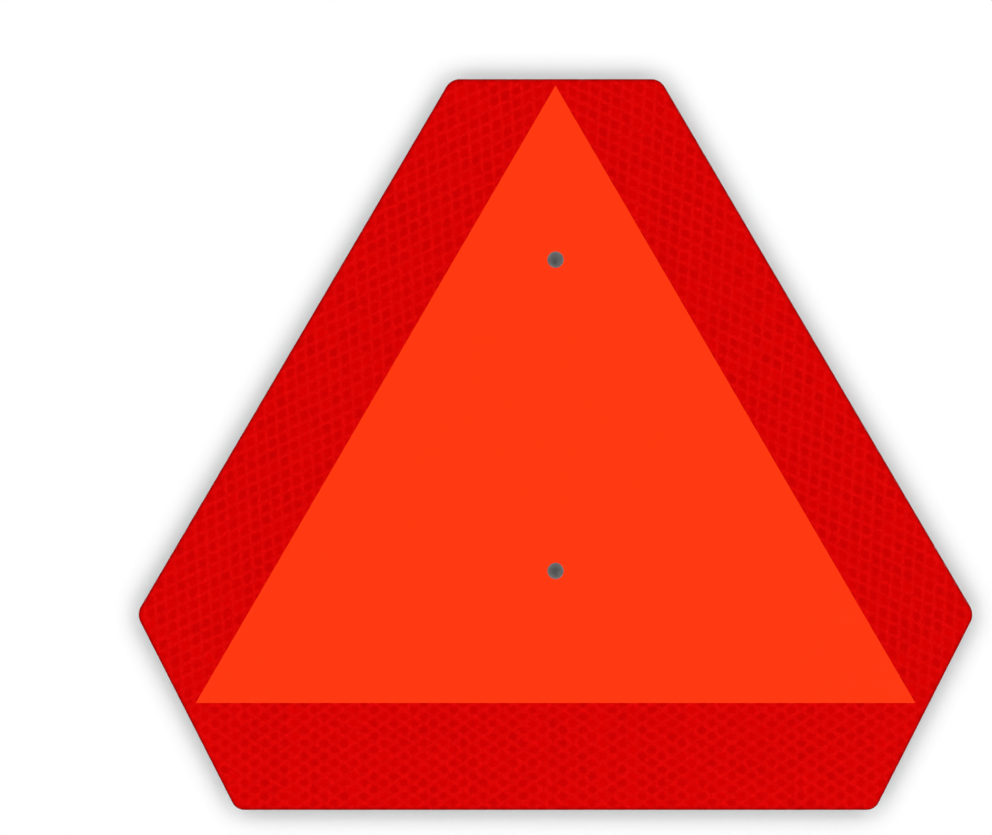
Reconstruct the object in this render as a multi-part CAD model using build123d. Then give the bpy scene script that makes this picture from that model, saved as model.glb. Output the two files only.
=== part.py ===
from build123d import *
from math import atan2, ceil, cos, degrees, radians, sin
import os

# Slow moving vehicle sign: a flat sheet-metal blank in the form of a triangle with its three corners cut
# off, faced with four pieces of film. Millimetres. The front faces -Y, +X is to the right and +Z is up.
# The origin is midway between the two mounting holes, on the back face of the blank.

# Outline, measured to the sharp corners where the straight edges would meet
sign_height = 355.9
top_edge_length = 102.0
side_corner_span = 408.2
side_corner_height = 95.4
bottom_edge_length = 311.1

# Rounding of those corners
top_corner_radius = 7.5
side_corner_radius = 7.8
bottom_corner_radius = 6.6

# Fluorescent triangle, which stands on the bottom strip and ends just under the top edge
triangle_base = 350.4
bottom_strip_height = 52.1
apex_gap = 3.15

# Mounting holes, one above the other on the centre line
hole_diameter = 7.94
hole_spacing = 151.6
lower_hole_height = 116.4

# Sheet metal, with the small chamfer that deburring leaves round its back face, and the two kinds of film
plate_thickness = 1.02
plate_edge_break = 0.2
triangle_film_thickness = 0.15
reflective_film_thickness = 0.35

# Reflective film is pressed along a net of straight lines, which leaves it quilted in low diamond cells.
# Each strip is cut somewhere else from the roll, so a crossing of its net has a place of its own.
cell_length = 9.68
cell_width = 6.45
net_depth = 0.06
bottom_net_from_centre = -1.30
bottom_net_below_triangle = 0.25
side_net_from_base = 7.09
side_net_from_triangle = 5.58

# Sketches show the sign from the front. Heights in them are measured up from its bottom edge.
origin_height = lower_hole_height + hole_spacing / 2
triangle_height = sign_height - bottom_strip_height - apex_gap
triangle_side_angle = degrees(atan2(triangle_height, triangle_base / 2))
back_face = Plane.XZ
front_face = Plane.XZ.offset(plate_thickness)


def at(x, height):
    """Point in a sketch, by its distance from the centre line and its height."""
    return Vector(x, height - origin_height)


def heading(angle):
    """Unit vector in a sketch, at an angle in degrees from the X axis."""
    return Vector(cos(radians(angle)), sin(radians(angle)))


def sign_outline():
    """Hexagon with rounded corners, the edge that the blank and the films share."""
    half_top = top_edge_length / 2
    half_span = side_corner_span / 2
    half_bottom = bottom_edge_length / 2
    with BuildSketch() as outline:
        Polygon(
            at(-half_bottom, 0),
            at(half_bottom, 0),
            at(half_span, side_corner_height),
            at(half_top, sign_height),
            at(-half_top, sign_height),
            at(-half_span, side_corner_height),
            align=None,
        )
        fillet(outline.vertices().group_by(Axis.Y)[-1], top_corner_radius)
        fillet(outline.vertices().group_by(Axis.Y)[0], bottom_corner_radius)
        across = outline.vertices().sort_by(Axis.X)
        fillet([across[0], across[-1]], side_corner_radius)
    return outline.sketch


def mounting_holes():
    """The two round holes, as flat discs to cut away."""
    lower = Pos(at(0, lower_hole_height)) * Circle(hole_diameter / 2)
    upper = Pos(at(0, lower_hole_height + hole_spacing)) * Circle(hole_diameter / 2)
    return lower + upper


def warning_triangle():
    """Triangle whose base is the upper edge of the bottom strip."""
    half_base = triangle_base / 2
    return Polygon(
        at(-half_base, bottom_strip_height),
        at(half_base, bottom_strip_height),
        at(0, bottom_strip_height + triangle_height),
        align=None,
    )


def area_under_triangle():
    """Everything from the bottom edge up to the triangle's base."""
    area = Rectangle(side_corner_span, bottom_strip_height, align=(Align.CENTER, Align.MIN))
    return Pos(at(0, 0)) * area


def left_half():
    """Everything to the left of the centre line."""
    return Pos(at(0, 0)) * Rectangle(side_corner_span / 2, sign_height, align=(Align.MAX, Align.MIN))


def roofs(direction, crossing, reach):
    """Sheet fronted by a row of low roofs, whose valleys are the net lines that run in one direction."""
    lean = atan2(cell_width, cell_length)
    pitch = cell_length * sin(lean)
    count = ceil(reach / pitch)
    valley = reflective_film_thickness - net_depth
    profile = [(-count * pitch, -reflective_film_thickness)]
    for line in range(-count, count):
        profile.append((line * pitch, valley))
        profile.append(((line + 0.5) * pitch, reflective_film_thickness))
    profile.append((count * pitch, valley))
    profile.append((count * pitch, -reflective_film_thickness))
    along = heading(direction)
    across = heading(direction + 90)
    section = Plane(
        origin=front_face.from_local_coords(crossing),
        x_dir=Vector(across.X, 0, across.Y),
        z_dir=Vector(along.X, 0, along.Y),
    )
    return extrude(section * Polygon(*profile, align=None), reach, both=True)


def quilted_film(area, direction, crossing):
    """Reflective film of a given area. The length of its cells runs in one direction."""
    lean = degrees(atan2(cell_width, cell_length))
    reach = area.bounding_box().diagonal
    film = extrude(front_face * area, reflective_film_thickness)
    film = film & roofs(direction + lean, crossing, reach)
    return film & roofs(direction - lean, crossing, reach)


def base_plate():
    """Sheet-metal blank, punched and then deburred round the edge of its back face."""
    blank = extrude(back_face * (sign_outline() - mounting_holes()), plate_thickness)
    back_outline = blank.faces().sort_by(Axis.Y)[-1].outer_wire().edges()
    return chamfer(back_outline, plate_edge_break)


def centre_triangle():
    """Smooth fluorescent film, with the mounting holes punched through it."""
    area = (warning_triangle() & sign_outline()) - mounting_holes()
    return extrude(front_face * area, triangle_film_thickness)


def bottom_border_strip():
    """Reflective film across the whole width, under the triangle."""
    area = sign_outline() & area_under_triangle()
    crossing = at(bottom_net_from_centre, bottom_strip_height - bottom_net_below_triangle)
    return quilted_film(area, 0, crossing)


def left_border_strip():
    """Reflective film beside the triangle. It ends on the centre line, in the gap above the apex."""
    area = (sign_outline() & left_half()) - area_under_triangle() - warning_triangle()
    base_corner = at(-triangle_base / 2, bottom_strip_height)
    along_side = heading(triangle_side_angle) * side_net_from_base
    outwards = heading(triangle_side_angle + 90) * side_net_from_triangle
    return quilted_film(area, triangle_side_angle, base_corner + along_side + outwards)


left_strip = left_border_strip()
pieces = {
    "base_plate": base_plate(),
    "centre_triangle": centre_triangle(),
    "bottom_border_strip": bottom_border_strip(),
    "left_border_strip": left_strip,
    "right_border_strip": mirror(left_strip, about=Plane.YZ),
}

os.makedirs("parts", exist_ok=True)
for name, piece in pieces.items():
    export_step(piece, f"parts/{name}.step")
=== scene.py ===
import bmesh
import bpy
from math import atan2, ceil, cos, floor, pi, radians, sin, sqrt, tan
from mathutils import Matrix, Vector


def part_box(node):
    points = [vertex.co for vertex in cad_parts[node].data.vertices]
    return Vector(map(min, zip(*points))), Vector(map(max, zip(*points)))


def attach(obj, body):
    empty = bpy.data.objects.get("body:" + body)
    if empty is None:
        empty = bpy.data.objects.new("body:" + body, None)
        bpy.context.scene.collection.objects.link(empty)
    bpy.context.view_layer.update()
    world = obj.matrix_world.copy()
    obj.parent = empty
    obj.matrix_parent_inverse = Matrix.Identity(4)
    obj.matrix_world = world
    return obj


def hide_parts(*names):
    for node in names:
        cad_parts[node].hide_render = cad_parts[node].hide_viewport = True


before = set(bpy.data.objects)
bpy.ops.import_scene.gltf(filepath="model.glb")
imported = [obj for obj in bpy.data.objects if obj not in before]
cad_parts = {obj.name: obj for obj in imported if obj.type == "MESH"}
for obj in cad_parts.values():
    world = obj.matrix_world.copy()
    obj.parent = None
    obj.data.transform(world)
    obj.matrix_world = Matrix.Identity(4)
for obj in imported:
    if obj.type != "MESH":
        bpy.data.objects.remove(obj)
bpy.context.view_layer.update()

# Blank. Aluminium sheet, 1 mm thick, punched out with its two bolt holes in one stroke of a press. The
# rolling grain of the mill runs across its bare back, and the edge there was deburred.
mm = 0.001
plate_low, plate_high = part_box("base_plate")
plate_back, plate_front = plate_high.y, plate_low.y
sign_bottom, sign_top = plate_low.z, plate_high.z
half_bottom_edge = 155.55 * mm
half_top_edge = 51.0 * mm
half_corner_span = 204.1 * mm
side_corner_height = 95.4 * mm
bottom_corner_radius = 6.6 * mm
side_corner_radius = 7.8 * mm
top_corner_radius = 7.5 * mm
hole_radius = 3.97 * mm
hole_heights = (-75.8 * mm, 75.8 * mm)
deburred_edge = 0.2 * mm
punched_rim = 0.12 * mm

# How finely round forms are stepped, and where smooth shading ends
corner_steps = 16
roll_steps = 4
hole_steps = 56
same_place = 0.001 * mm
sharpest_smooth_edge = radians(35)
straight_on = 0.999999

right_corners = [
    (half_bottom_edge, sign_bottom, bottom_corner_radius),
    (half_corner_span, sign_bottom + side_corner_height, side_corner_radius),
    (half_top_edge, sign_top, top_corner_radius),
]
outline = right_corners + [(-x, z, radius) for x, z, radius in reversed(right_corners)]


def rounded_face(bm, corners, y):
    """One flat face. Each corner is (x, z, radius), counterclockwise as seen from the front."""
    points = [Vector((x, y, z)) for x, z, radius in corners]
    arcs = []
    for i, (x, z, radius) in enumerate(corners):
        behind = (points[i - 1] - points[i]).normalized()
        ahead = (points[(i + 1) % len(points)] - points[i]).normalized()
        half_angle = behind.angle(ahead) / 2
        first = bm.verts.new(points[i] + behind * radius / tan(half_angle))
        last = first
        if radius:
            centre = points[i] + (behind + ahead).normalized() * radius / sin(half_angle)
            turned = bmesh.ops.spin(
                bm, geom=[first], cent=centre, axis=(0, -1, 0),
                angle=pi - 2 * half_angle, steps=corner_steps,
            )
            last = turned["geom_last"][0]
        arcs.append((first, last))
    for i in range(len(arcs)):
        bm.edges.new((arcs[i - 1][1], arcs[i][0]))
    return bmesh.ops.contextual_create(bm, geom=bm.edges[:])["faces"][0]


def extrude_to(bm, edges, y):
    """Walls from some edges to a distance from the blank's back. Returns the edges at their far end."""
    made = bmesh.ops.extrude_edge_only(bm, edges=edges)["geom"]
    moved = {part for part in made if isinstance(part, bmesh.types.BMVert)}
    for vert in moved:
        vert.co.y = y
    new_edges = [part for part in made if isinstance(part, bmesh.types.BMEdge)]
    return [edge for edge in new_edges if moved.issuperset(edge.verts)]


def punched_sheet(corners, shown, hidden, outer_roll, hole_roll):
    """Closed sheet with the two bolt holes, between its shown face and its hidden face. Its outline and
    its holes are rounded over on the shown side."""
    bm = bmesh.new()
    outwards = 1 if shown > hidden else -1
    cap = rounded_face(bm, corners, shown - outwards * outer_roll)
    extrude_to(bm, cap.edges[:], hidden)
    cap.normal_update()
    if cap.normal.y * outwards < 0:
        cap.normal_flip()
    steps = roll_steps if outer_roll else 0
    for step in range(steps):
        start = pi / 2 * step / steps
        end = pi / 2 * (step + 1) / steps
        bmesh.ops.inset_individual(
            bm, faces=[cap], use_even_offset=True,
            thickness=outer_roll * (cos(start) - cos(end)), depth=outer_roll * (sin(end) - sin(start)),
        )
    bmesh.ops.delete(bm, geom=[cap], context="FACES_ONLY")
    for height in hole_heights:
        rim = bm.verts.new((hole_radius + hole_roll, shown, height))
        roll_centre = (hole_radius + hole_roll, shown - outwards * hole_roll, height)
        bmesh.ops.spin(
            bm, geom=[rim], cent=roll_centre, axis=(0, 0, outwards), angle=pi / 2, steps=roll_steps
        )
        profile = [edge for edge in bm.edges if edge.is_wire]
        throat = min({vert for edge in profile for vert in edge.verts}, key=lambda vert: vert.co.x)
        bore = bm.verts.new((hole_radius, hidden, height))
        profile.append(bm.edges.new((throat, bore)))
        bmesh.ops.spin(
            bm, geom=profile + list({vert for edge in profile for vert in edge.verts}),
            cent=(0, 0, height), axis=(0, 1, 0), angle=2 * pi, steps=hole_steps, use_merge=True,
        )
    bmesh.ops.remove_doubles(bm, verts=bm.verts[:], dist=same_place)
    for level in (shown, hidden):
        rims = [
            edge for edge in bm.edges
            if edge.is_boundary and all(abs(vert.co.y - level) < same_place for vert in edge.verts)
        ]
        bmesh.ops.triangle_fill(bm, edges=rims, normal=(0, 1, 0), use_beauty=True)
    return bm


def add_piece(bm, name, material, node):
    """Object that stands for a node, shaded smooth except over its corners and on its flat faces."""
    bmesh.ops.recalc_face_normals(bm, faces=bm.faces[:])
    for edge in bm.edges:
        edge.smooth = len(edge.link_faces) == 2 and edge.calc_face_angle() < sharpest_smooth_edge
    for face in bm.faces:
        face.smooth = abs(face.normal.y) < straight_on
    mesh = bpy.data.meshes.new(name)
    bm.to_mesh(mesh)
    bm.free()
    mesh.materials.append(material)
    piece = bpy.data.objects.new(name, mesh)
    bpy.context.scene.collection.objects.link(piece)
    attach(piece, "root")
    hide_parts(node)


def linear(colour):
    """sRGB hex colour as linear RGBA."""
    channels = [int(colour[i:i + 2], 16) / 255 for i in (1, 3, 5)]
    return [c / 12.92 if c <= 0.04045 else ((c + 0.055) / 1.055) ** 2.4 for c in channels] + [1.0]


def add_node(tree, kind, inputs=(), **settings):
    """Adds a node with its settings. An input is a value, or the output of another node to link to it."""
    node = tree.nodes.new("ShaderNode" + kind)
    for name, value in settings.items():
        setattr(node, name, value)
    for key, value in dict(inputs).items():
        if isinstance(value, bpy.types.NodeSocket):
            tree.links.new(value, node.inputs[key])
        else:
            node.inputs[key].default_value = value
    return node


def empty_material(name):
    """Material without nodes, and its tree."""
    material = bpy.data.materials.new(name)
    material.use_nodes = True
    material.node_tree.nodes.clear()
    return material, material.node_tree


# Mill-finish aluminium: bright, with streaks 0.3 mm wide along the rolling direction, drawn wider than
# the real ones so that they show, soft grey clouds where the rolls pressed harder, and a few scuffs.
streak_length = 80 * mm
streak_width = 0.3 * mm
streak_depth = 0.02 * mm
cloud_size = 70 * mm
scuff_length = 40 * mm
scuff_width = 1.1 * mm
scuff_turn = radians(24)

aluminium, tree = empty_material("mill_finish_aluminium")
place = add_node(tree, "TexCoord").outputs["Object"]
streak_place = add_node(
    tree, "Mapping", {"Vector": place, "Scale": (1 / streak_length, 1 / streak_width, 1 / streak_width)}
).outputs["Vector"]
streaks = add_node(
    tree, "TexNoise", {"Vector": streak_place, "Scale": 1.0, "Detail": 4.0}
).outputs["Fac"]
clouds = add_node(
    tree, "TexNoise", {"Vector": place, "Scale": 1 / cloud_size, "Detail": 3.0}
).outputs["Fac"]
scuff_place = add_node(
    tree, "Mapping",
    {
        "Vector": place, "Rotation": (0, scuff_turn, 0),
        "Scale": (1 / scuff_length, 1 / scuff_length, 1 / scuff_width),
    },
).outputs["Vector"]
scuff_noise = add_node(
    tree, "TexNoise", {"Vector": scuff_place, "Scale": 1.0, "Detail": 2.0}
).outputs["Fac"]
scuffs = add_node(
    tree, "MapRange", {"Value": scuff_noise, "From Min": 0.68, "From Max": 0.76, "To Max": 0.5},
    interpolation_type="SMOOTHSTEP",
).outputs["Result"]
grain = add_node(
    tree, "Mix", {0: streaks, 6: linear("#C9CBCD"), 7: linear("#F4F5F5")}, data_type="RGBA"
).outputs[2]
clouded = add_node(
    tree, "Mix", {0: clouds, 6: linear("#B9BBBD"), 7: grain}, data_type="RGBA"
).outputs[2]
scuffed = add_node(
    tree, "Mix", {0: scuffs, 6: clouded, 7: linear("#8F9193")}, data_type="RGBA"
).outputs[2]
sheen = add_node(
    tree, "MapRange", {"Value": clouds, "To Min": 0.30, "To Max": 0.46}
).outputs["Result"]
streak_bump = add_node(
    tree, "Bump", {"Height": streaks, "Strength": 0.3, "Distance": streak_depth}
).outputs["Normal"]
shader = add_node(
    tree, "BsdfPrincipled",
    {"Base Color": scuffed, "Roughness": sheen, "Metallic": 1.0, "Normal": streak_bump},
)
add_node(tree, "OutputMaterial", {"Surface": shader.outputs["BSDF"]})

blank_mesh = punched_sheet(outline, plate_back, plate_front, deburred_edge, punched_rim)
add_piece(blank_mesh, "aluminium_blank", aluminium, "base_plate")

# Centre triangle. Fluorescent orange vinyl film, 0.15 mm thick, die-cut and stuck to the blank before the
# holes were punched through both. The punch drew the film a little way into each hole.
triangle_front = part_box("centre_triangle")[0].y
strip_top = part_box("bottom_border_strip")[1].z
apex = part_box("centre_triangle")[1].z
half_triangle_base = 175.2 * mm
film_rim = 0.08 * mm
triangle = [(half_triangle_base, strip_top, 0), (0, apex, 0), (-half_triangle_base, strip_top, 0)]

# Fluorescent vinyl: one even, glowing orange with a satin face. Its pigment clumps in specks of 0.5 mm,
# its face has a faint orange peel 3 mm long, and it gives back a little more light than it gets.
speck_size = 0.5 * mm
peel_size = 3 * mm
peel_depth = 0.02 * mm

vinyl, tree = empty_material("fluorescent_orange_vinyl")
place = add_node(tree, "TexCoord").outputs["Object"]
specks = add_node(
    tree, "TexNoise", {"Vector": place, "Scale": 1 / speck_size, "Detail": 2.0}
).outputs["Fac"]
peel = add_node(
    tree, "TexNoise", {"Vector": place, "Scale": 1 / peel_size, "Detail": 2.0}
).outputs["Fac"]
orange = add_node(
    tree, "Mix", {0: specks, 6: linear("#FF350A"), 7: linear("#FF3A0E")}, data_type="RGBA"
).outputs[2]
satin = add_node(
    tree, "MapRange", {"Value": peel, "To Min": 0.13, "To Max": 0.19}
).outputs["Result"]
peel_bump = add_node(
    tree, "Bump", {"Height": peel, "Strength": 0.25, "Distance": peel_depth}
).outputs["Normal"]
shader = add_node(
    tree, "BsdfPrincipled",
    {
        "Base Color": orange, "Roughness": satin, "IOR": 1.48, "Specular IOR Level": 0.3,
        "Normal": peel_bump,
        "Emission Color": linear("#FF370A"), "Emission Strength": 0.06,
    },
)
add_node(tree, "OutputMaterial", {"Surface": shader.outputs["BSDF"]})

triangle_mesh = punched_sheet(triangle, triangle_front, plate_front, 0, film_rim)
add_piece(triangle_mesh, "fluorescent_triangle", vinyl, "centre_triangle")

# Border strips. Red prismatic film, 0.35 mm thick. A heated roller sealed it along a net of lines, which
# lie lower than the diamond cells between them. The three strips are cut to the blank's outline, which
# rolled their outer edge over, and butted against the triangle and each other.
film_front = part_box("bottom_border_strip")[0].y
cell_length = 9.68 * mm
cell_width = 6.45 * mm
net_depth = 0.04 * mm
line_half_width = 0.35 * mm
shoulder = 1.0 * mm
edge_rings = (0.25 * mm, 0.7 * mm, 1.3 * mm, 2.1 * mm)
rolled_drop = 0.045 * mm
roll_power = 4
bottom_crossing = Vector((-1.30 * mm, 0, strip_top - 0.25 * mm))
side_net_from_base = 7.09 * mm
side_net_from_triangle = 5.58 * mm
side_angle = atan2(apex - strip_top, half_triangle_base)
lean = atan2(cell_width, cell_length)
line_pitch = cell_length * sin(lean)


def heading(angle):
    """Direction in the plane of the sign, from +X towards +Z."""
    return Vector((cos(angle), 0, sin(angle)))


base_corner = Vector((-half_triangle_base, 0, strip_top))
left_crossing = (
    base_corner + heading(side_angle) * side_net_from_base
    + heading(side_angle + pi / 2) * side_net_from_triangle
)
right_crossing = Vector((-left_crossing.x, 0, left_crossing.z))


def cut_off(bm, point, direction, **clear):
    """Cuts through the whole mesh across a direction. Of the two sides, clear_outer drops the far one."""
    bmesh.ops.bisect_plane(
        bm, geom=bm.verts[:] + bm.edges[:] + bm.faces[:], dist=same_place,
        plane_co=point, plane_no=direction, **clear,
    )


def pressed_strip(seams, direction, crossing):
    """Strip of film between the outline and its seams. A seam is a point and the direction that leads out
    of the strip. The cells' length runs along the direction, and the net passes through the crossing."""
    bm = bmesh.new()
    edge_layer = bm.verts.layers.float.new("edge")
    field = rounded_face(bm, outline, film_front)
    for vert in field.verts:
        vert[edge_layer] = 1.0
    inset = 0.0
    for ring in edge_rings:
        bmesh.ops.inset_individual(bm, faces=[field], thickness=ring - inset, use_even_offset=True)
        for vert in field.verts:
            vert[edge_layer] = 1 - ring / edge_rings[-1]
        inset = ring
    for point, outwards in seams:
        cut_off(bm, point, outwards, clear_outer=True)
    across = [heading(direction + turn + pi / 2) for turn in (lean, -lean)]
    slope_foot = line_half_width
    slope_top = line_half_width + shoulder
    for normal in across:
        reach = [(vert.co - crossing).dot(normal) / line_pitch for vert in bm.verts]
        for line in range(floor(min(reach)), ceil(max(reach)) + 1):
            for offset in (-slope_top, -slope_foot, slope_foot, slope_top):
                cut_off(bm, crossing + normal * (line * line_pitch + offset), normal)
    for vert in bm.verts:
        sunk = 0.0
        for normal in across:
            lines_off = (vert.co - crossing).dot(normal) / line_pitch
            from_line = abs(lines_off - round(lines_off)) * line_pitch
            sunk = max(sunk, min(1.0, 1 - (from_line - line_half_width) / shoulder))
        rolled = rolled_drop * vert[edge_layer] ** roll_power
        vert.co.y = film_front + net_depth * sunk + rolled
    rim = extrude_to(bm, [edge for edge in bm.edges if edge.is_boundary], plate_front)
    bmesh.ops.edgeloop_fill(bm, edges=rim)
    return bm


# Red prismatic film, vinyl-faced: deep red under a clear glossy face. The prisms return least light in
# the middle of a cell, so each one is a soft dark spot, and the sealed net between them is lighter. Single
# cells differ by chance. Every third column is lighter too, most of all one column in 34, and the others
# less and less away from it.
spot_core = 1.0 * mm
spot_reach = 2.8 * mm
spot_wander = 1.8 * mm
seal_width = 0.55 * mm
drift_size = 16 * mm
wave_size = 2 * mm
wave_depth = 0.01 * mm
fleck_size = 1.8 * mm
columns_per_repeat = 34
bright_every = 3
bright_fades_in = 15
bright_share = 0.42
chance_share = 0.36
drift_share = 0.8
# How dark the painted shade along the rolled outer edge gets
painted_edge_shade_strength = 0.7


def prismatic_film(name, direction, crossing, squareness, bright_column, seed):
    """Film whose cells' length runs along the direction, with its net through the crossing. Squareness
    takes its spots from round, at 0, to the cell's own diamond, at 1. The column of its lightest cells is
    counted from the crossing, and the seed sets its single cells apart from those of other strips."""
    material, tree = empty_material(name)
    place = add_node(tree, "TexCoord").outputs["Object"]
    cells = add_node(
        tree, "Mapping",
        {
            "Vector": place, "Location": crossing, "Rotation": (0, -direction, 0),
            "Scale": (cell_length, 1, cell_width),
        },
        vector_type="TEXTURE",
    ).outputs["Vector"]
    along = add_node(tree, "SeparateXYZ", {0: cells}).outputs
    rows = [
        add_node(tree, "Math", {0: along["X"], 1: along["Z"]}, operation=way).outputs[0]
        for way in ("ADD", "SUBTRACT")
    ]

    # How light each cell is. Its two row numbers add up to one less than its column's number.
    indices = [add_node(tree, "Math", {0: row}, operation="FLOOR").outputs[0] for row in rows]
    cell = add_node(tree, "CombineXYZ", {0: indices[0], 1: indices[1], 2: seed}).outputs[0]
    chance = add_node(tree, "TexWhiteNoise", {"Vector": cell}, noise_dimensions="3D").outputs["Value"]
    column = add_node(tree, "Math", {0: indices[0], 1: indices[1]}, operation="ADD").outputs[0]
    shifted = add_node(
        tree, "Math", {0: column, 1: bright_column - 1}, operation="SUBTRACT"
    ).outputs[0]
    from_bright = add_node(
        tree, "Math", {0: shifted, 1: columns_per_repeat / 2}, operation="PINGPONG"
    ).outputs[0]
    third = add_node(tree, "Math", {0: from_bright, 1: bright_every}, operation="MODULO").outputs[0]
    every_third = add_node(tree, "Math", {0: third, 1: 0.5}, operation="LESS_THAN").outputs[0]
    fading = add_node(
        tree, "MapRange",
        {"Value": from_bright, "From Max": bright_fades_in, "To Min": bright_share, "To Max": 0.0},
    ).outputs["Result"]
    lighter = add_node(tree, "Math", {0: every_third, 1: fading}, operation="MULTIPLY").outputs[0]
    drift = add_node(
        tree, "TexNoise", {"Vector": place, "Scale": 1 / drift_size, "Detail": 1.0}
    ).outputs["Fac"]
    varied = add_node(
        tree, "Math", {0: chance, 1: chance_share, 2: lighter}, operation="MULTIPLY_ADD"
    ).outputs[0]
    level = add_node(
        tree, "Math", {0: drift, 1: drift_share, 2: varied}, operation="MULTIPLY_ADD"
    ).outputs[0]

    # Soft spot in the middle of each cell, with an uneven edge. The two ways to measure how far out a point
    # lies make it round, or square to the net.
    parts = [add_node(tree, "Math", {0: row}, operation="FRACT").outputs[0] for row in rows]
    in_cell = add_node(tree, "CombineXYZ", {0: parts[0], 1: parts[1]}).outputs[0]
    from_middle = add_node(
        tree, "VectorMath", {0: in_cell, 1: (0.5, 0.5, 0)}, operation="SUBTRACT"
    ).outputs[0]
    real_size = add_node(
        tree, "Mapping",
        {
            "Vector": from_middle, "Rotation": (0, 0, radians(45)),
            "Scale": (sqrt(2) / cell_length, sqrt(2) / cell_width, 1),
        },
        vector_type="TEXTURE",
    ).outputs["Vector"]
    round_reach = add_node(tree, "VectorMath", {0: real_size}, operation="LENGTH").outputs["Value"]
    squares = add_node(
        tree, "VectorMath", {0: from_middle, 1: from_middle}, operation="MULTIPLY"
    ).outputs[0]
    fourths = add_node(tree, "VectorMath", {0: squares}, operation="LENGTH").outputs["Value"]
    in_pitches = add_node(tree, "Math", {0: fourths}, operation="SQRT").outputs[0]
    square_reach = add_node(tree, "Math", {0: in_pitches, 1: line_pitch}, operation="MULTIPLY").outputs[0]
    reach = add_node(tree, "Mix", {0: squareness, 2: round_reach, 3: square_reach}).outputs[0]
    waves = add_node(
        tree, "TexNoise", {"Vector": place, "Scale": 1 / wave_size, "Detail": 2.0}
    ).outputs["Fac"]
    uneven = add_node(
        tree, "Math", {0: waves, 1: spot_wander, 2: -spot_wander / 2}, operation="MULTIPLY_ADD"
    ).outputs[0]
    uneven_reach = add_node(tree, "Math", {0: reach, 1: uneven}, operation="ADD").outputs[0]
    around = add_node(
        tree, "MapRange",
        {"Value": uneven_reach, "From Min": spot_core, "From Max": spot_reach},
        interpolation_type="SMOOTHSTEP",
    ).outputs["Result"]

    # Sealed net, by the distance from the nearest line
    from_lines = [
        add_node(tree, "Math", {0: row, 1: 0.5}, operation="PINGPONG").outputs[0] for row in rows
    ]
    nearest = add_node(
        tree, "Math", {0: from_lines[0], 1: from_lines[1]}, operation="MINIMUM"
    ).outputs[0]
    net = add_node(
        tree, "MapRange",
        {"Value": nearest, "From Max": seal_width / line_pitch, "To Min": 0.22, "To Max": 0.0},
        interpolation_type="SMOOTHSTEP",
    ).outputs["Result"]

    # Colours of the spots, of what lies around them and of the net, with painted shade darkening them where
    # the outer edge rolls over
    spot = add_node(
        tree, "Mix", {0: level, 6: linear("#C60000"), 7: linear("#DD0000")}, data_type="RGBA"
    ).outputs[2]
    flecks = add_node(
        tree, "TexNoise", {"Vector": place, "Scale": 1 / fleck_size, "Detail": 1.0}
    ).outputs["Fac"]
    fleck = add_node(
        tree, "MapRange", {"Value": flecks, "From Min": 0.3, "From Max": 0.7}
    ).outputs["Result"]
    field = add_node(
        tree, "Mix", {0: fleck, 6: linear("#D80303"), 7: linear("#E80707")}, data_type="RGBA"
    ).outputs[2]
    prisms = add_node(tree, "Mix", {0: around, 6: spot, 7: field}, data_type="RGBA").outputs[2]
    sealed = add_node(
        tree, "Mix", {0: net, 6: prisms, 7: linear("#E60C0C")}, data_type="RGBA"
    ).outputs[2]
    # Painted shade along the rolled outer edge: the edge attribute darkens the colour towards the outline
    edge = add_node(tree, "Attribute", attribute_name="edge").outputs["Fac"]
    edge_shade_falloff = add_node(tree, "Math", {0: edge, 1: 2.0}, operation="POWER").outputs[0]
    painted_edge_shade = add_node(tree, "Math", {0: edge_shade_falloff, 1: painted_edge_shade_strength}, operation="MULTIPLY").outputs[0]
    colour = add_node(
        tree, "Mix", {0: painted_edge_shade, 6: sealed, 7: linear("#200000")}, data_type="RGBA"
    ).outputs[2]

    gloss = add_node(
        tree, "MapRange", {"Value": waves, "To Min": 0.07, "To Max": 0.12}
    ).outputs["Result"]
    wave_bump = add_node(
        tree, "Bump", {"Height": waves, "Strength": 0.2, "Distance": wave_depth}
    ).outputs["Normal"]
    shader = add_node(
        tree, "BsdfPrincipled",
        {
            "Base Color": colour, "Roughness": gloss, "IOR": 1.42, "Specular IOR Level": 0.3,
            "Normal": wave_bump,
        },
    )
    add_node(tree, "OutputMaterial", {"Surface": shader.outputs["BSDF"]})
    return material


strip_edge = Vector((0, 0, strip_top))
bottom_mesh = pressed_strip([(strip_edge, (0, 0, 1))], 0.0, bottom_crossing)
bottom_film = prismatic_film(
    "red_prismatic_film_bottom", 0.0, bottom_crossing, squareness=0.35, bright_column=8, seed=1
)
add_piece(bottom_mesh, "bottom_reflective_strip", bottom_film, "bottom_border_strip")

left_seams = [
    (strip_edge, (0, 0, -1)),
    (base_corner, heading(side_angle - pi / 2)),
    (strip_edge, (1, 0, 0)),
]
left_mesh = pressed_strip(left_seams, side_angle, left_crossing)
right_mesh = left_mesh.copy()
bmesh.ops.scale(right_mesh, verts=right_mesh.verts[:], vec=(-1, 1, 1))
left_film = prismatic_film(
    "red_prismatic_film_left", side_angle, left_crossing, squareness=0.85, bright_column=3, seed=2
)
add_piece(left_mesh, "left_reflective_strip", left_film, "left_border_strip")
right_film = prismatic_film(
    "red_prismatic_film_right", pi - side_angle, right_crossing, squareness=0.85, bright_column=3, seed=3
)
add_piece(right_mesh, "right_reflective_strip", right_film, "right_border_strip")

# Wall and floor. The sign hangs 15 mm in front of a white wall, which is there only for what stands in
# front of it, and above a pale floor. Both keep the sign's soft shadow and throw no light back at it.
wall_behind_back = 14.7 * mm
wall_width = 1.4
floor_height = -0.30
floor_width = 4.0


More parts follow.
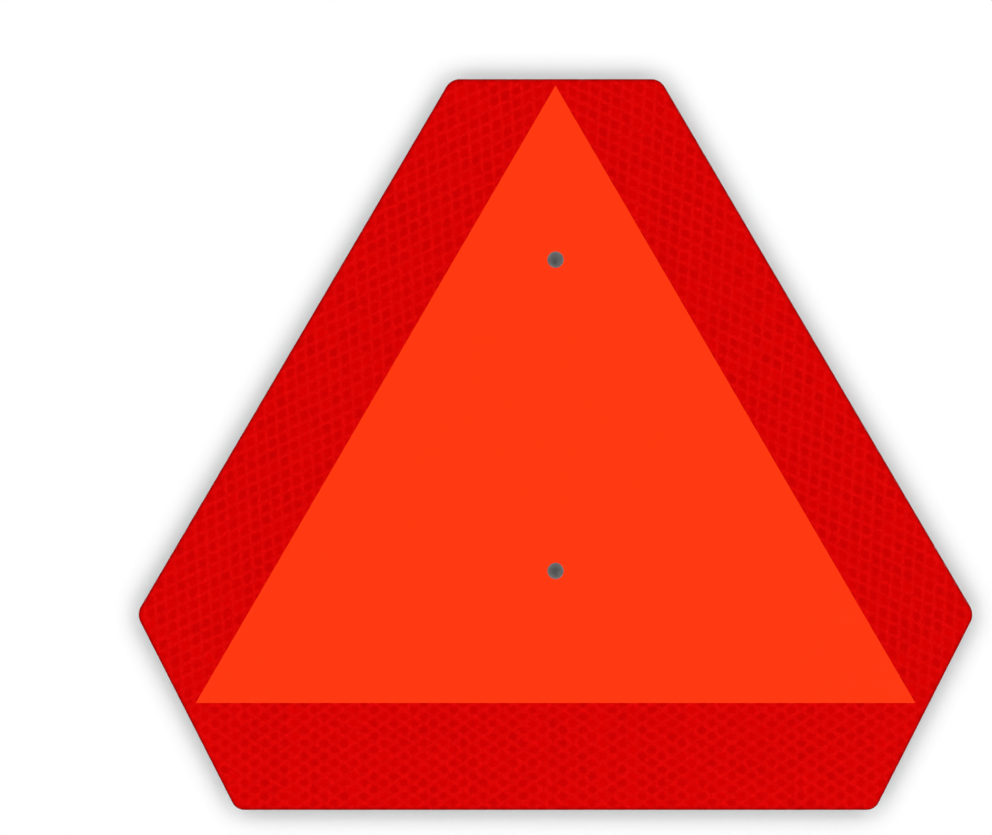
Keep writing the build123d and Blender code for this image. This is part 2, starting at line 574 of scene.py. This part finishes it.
def add_stage(name, place, width, turn, material):
    """Square stage that neither shades the object nor throws light at it."""
    bm = bmesh.new()
    bmesh.ops.create_grid(bm, x_segments=1, y_segments=1, size=width / 2)
    bmesh.ops.rotate(bm, verts=bm.verts[:], cent=(0, 0, 0), matrix=turn)
    bmesh.ops.translate(bm, verts=bm.verts[:], vec=place)
    mesh = bpy.data.meshes.new(name)
    bm.to_mesh(mesh)
    bm.free()
    mesh.materials.append(material)
    stage = bpy.data.objects.new(name, mesh)
    bpy.context.scene.collection.objects.link(stage)
    stage.visible_shadow = False
    stage.visible_diffuse = False
    stage.visible_glossy = False


def white_stage_material(name, colour, light_share, one_sided):
    """Matt white that takes shadows. Where it is seen, it also glows by the share that shading leaves out,
    and a one-sided stage can't be seen from behind."""
    material, tree = empty_material(name)
    ray = add_node(tree, "LightPath").outputs
    seen = add_node(
        tree, "Math", {0: ray["Is Camera Ray"], 1: ray["Is Glossy Ray"]}, operation="MAXIMUM"
    ).outputs[0]
    seen = add_node(
        tree, "Math", {0: seen, 1: ray["Is Transmission Ray"]}, operation="MAXIMUM"
    ).outputs[0]
    matt = add_node(tree, "BsdfDiffuse", {"Color": linear(colour)}).outputs[0]
    glow = add_node(tree, "Math", {0: seen, 1: light_share}, operation="MULTIPLY").outputs[0]
    glowing = add_node(tree, "Emission", {"Strength": glow}).outputs[0]
    surface = add_node(tree, "AddShader", {0: matt, 1: glowing}).outputs[0]
    if one_sided:
        behind = add_node(tree, "NewGeometry").outputs["Backfacing"]
        clear = add_node(tree, "BsdfTransparent").outputs[0]
        surface = add_node(tree, "MixShader", {0: behind, 1: surface, 2: clear}).outputs[0]
    add_node(tree, "OutputMaterial", {"Surface": surface})
    return material


white_wall = white_stage_material("white_wall", "#FAFAFA", 0.07, True)
wall_place = (0, plate_back + wall_behind_back, 0)
add_stage("wall", wall_place, wall_width, Matrix.Rotation(pi / 2, 3, "X"), white_wall)
white_floor = white_stage_material("white_floor", "#F3F3F3", 0.7, False)
add_stage("floor", (0, 0, floor_height), floor_width, Matrix.Identity(3), white_floor)

# Light. Softboxes 6 m in front of the sign make two square frames, one inside the other, and the outer
# one is half as bright. They light the sign and the wall evenly, at the level at which colours render as
# they are written. The film mirrors the dark gap in their middle to the camera, so it shows no glare.
softbox_distance = 6.0
gap_width = 3.0
inner_width = 5.4
outer_width = 11.2
inner_brightness = 3.44


def add_softbox(name, centre, width, height, brightness):
    """Area light that faces the front of the sign. Its centre is (x, z)."""
    data = bpy.data.lights.new(name, "AREA")
    data.shape = "RECTANGLE"
    data.size = width
    data.size_y = height
    data.energy = brightness * pi * width * height
    lamp = bpy.data.objects.new(name, data)
    lamp.location = (centre[0], -softbox_distance, centre[1])
    lamp.rotation_euler = (pi / 2, 0, 0)
    lamp.visible_camera = False
    bpy.context.scene.collection.objects.link(lamp)


def add_softbox_frame(name, inside, outside, brightness):
    """Four softboxes that fill a square frame."""
    bar = (outside - inside) / 2
    off = (outside + inside) / 4
    add_softbox(name + "_upper", (0, off), outside, bar, brightness)
    add_softbox(name + "_lower", (0, -off), outside, bar, brightness)
    add_softbox(name + "_left", (-off, 0), bar, inside, brightness)
    add_softbox(name + "_right", (off, 0), bar, inside, brightness)


add_softbox_frame("inner_softbox", gap_width, inner_width, inner_brightness)
add_softbox_frame("outer_softbox", inner_width, outer_width, inner_brightness / 2)

# World. The camera sees it white. The bare metal at the back mirrors a pale room, which darkens towards
# the front. Only what the camera sees directly mirrors it, so it throws no light into the wall's shadow.

# Where the room turns from black to pale, from 0 at its front to 1 at its back, and how pale it gets
dark_until = 0.07
pale_from = 0.55
pale_level = 0.85

world = bpy.data.worlds.new("pale_studio")
world.use_nodes = True
bpy.context.scene.world = world
tree = world.node_tree
tree.nodes.clear()
direction = add_node(tree, "TexCoord").outputs["Generated"]
depth = add_node(tree, "SeparateXYZ", {0: direction}).outputs["Y"]
behind = add_node(
    tree, "MapRange", {"Value": depth, "From Min": -1.0, "From Max": 1.0}
).outputs["Result"]
studio = add_node(tree, "ValToRGB", {0: behind})
studio.color_ramp.interpolation = "EASE"
dark_end, pale_end = studio.color_ramp.elements
dark_end.position = dark_until
dark_end.color = (0, 0, 0, 1)
pale_end.position = pale_from
pale_end.color = (pale_level, pale_level, pale_level, 1)
ray = add_node(tree, "LightPath").outputs
direct = add_node(tree, "Math", {0: ray["Diffuse Depth"], 1: 0.5}, operation="LESS_THAN").outputs[0]
mirrored = add_node(
    tree, "Math", {0: ray["Is Glossy Ray"], 1: direct}, operation="MULTIPLY"
).outputs[0]
reflected = add_node(
    tree, "Background", {"Color": studio.outputs["Color"], "Strength": mirrored}
).outputs[0]
backdrop = add_node(tree, "Background", {"Color": (1, 1, 1, 1), "Strength": 1.0}).outputs[0]
lit = add_node(tree, "MixShader", {0: ray["Is Camera Ray"], 1: reflected, 2: backdrop}).outputs[0]
add_node(tree, "OutputWorld", {"Surface": lit})

# Camera. It looks straight at the front from 3 m. The view is 992 pixels wide at 0.487 mm a pixel on the
# film, with the sign right of its centre, as in the photograph.
pixel = 0.487 * mm
picture_width = 992
camera_distance = 3.0
camera_aside = -28.98 * mm
camera_height = -1.07 * mm
sensor_width = 36

camera_data = bpy.data.cameras.new("camera")
camera_data.sensor_width = sensor_width
camera_data.lens = sensor_width * camera_distance / (picture_width * pixel)
camera = bpy.data.objects.new("camera", camera_data)
camera.location = (camera_aside, film_front - camera_distance, camera_height)
camera.rotation_euler = (pi / 2, 0, 0)
bpy.context.scene.collection.objects.link(camera)
bpy.context.scene.camera = camera
bpy.context.scene.view_settings.view_transform = "Standard"
